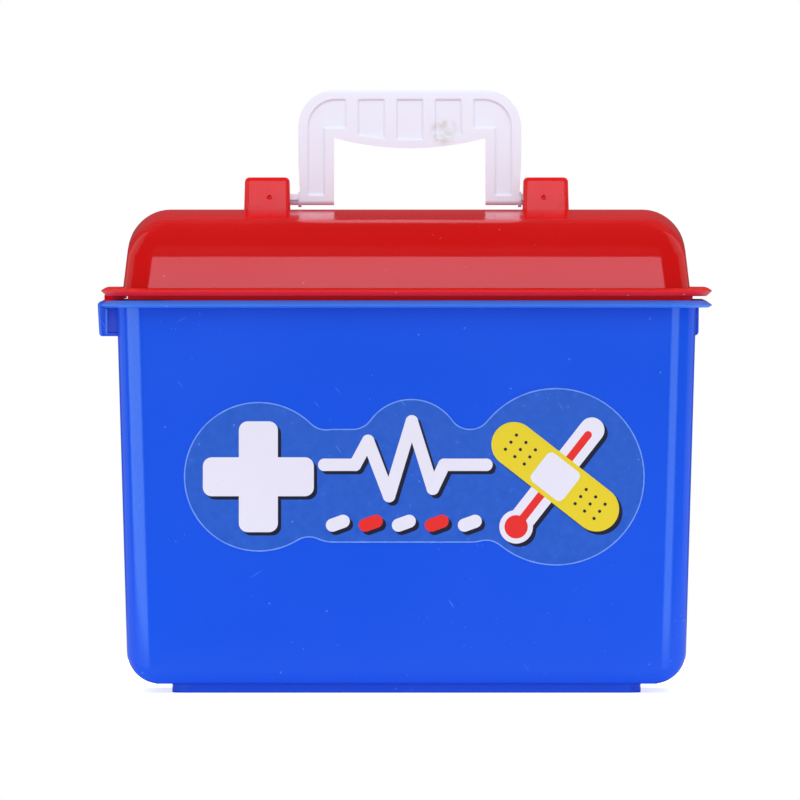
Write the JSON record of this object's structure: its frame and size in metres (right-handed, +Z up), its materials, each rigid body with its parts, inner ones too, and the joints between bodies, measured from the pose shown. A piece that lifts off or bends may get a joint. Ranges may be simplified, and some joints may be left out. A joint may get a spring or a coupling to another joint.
{
  "type": "toy doctor case",
  "caption": "Toy carry case: a drafted tub with a domed lid hinged at its left end, a snap catch at its right end, a carry handle swinging between lugs and a printed label.",
  "frame": {"origin": "middle of the foot's underside, where the case stands", "axes": "+X to the right towards the snap catch, -Y to the front where the label is, +Z up"},
  "size_m": [0.2052, 0.1188, 0.2014],
  "materials": {
    "blue_plastic": "smooth gloss moulding",
    "red_plastic": "smooth gloss moulding",
    "white_plastic": "smooth satin moulding",
    "label_film": "glossy printed film",
    "dark_ink": "print",
    "white_ink": "print",
    "red_ink": "print",
    "yellow_ink": "print"
  },
  "bodies": {
    "case": {"tub": "blue_plastic", "label_film": "label_film", "label_shadow": "dark_ink", "label_white": "white_ink", "label_red": "red_ink", "label_yellow": "yellow_ink"},
    "lid": {"lid": "red_plastic"},
    "handle": {"handle": "white_plastic"}
  },
  "joints": [
    {"name": "lid_hinge", "type": "hinge", "parent": "case", "child": "lid", "pos_m": [-0.0994, 0, 0.1223], "axis": [0, -1, 0], "range_deg": [0, 180]},
    {"name": "handle_hinge", "type": "hinge", "parent": "lid", "child": "handle", "pos_m": [0.0011, 0, 0.1646], "axis": [1, 0, 0], "range_deg": [-90, 90]}
  ]
}
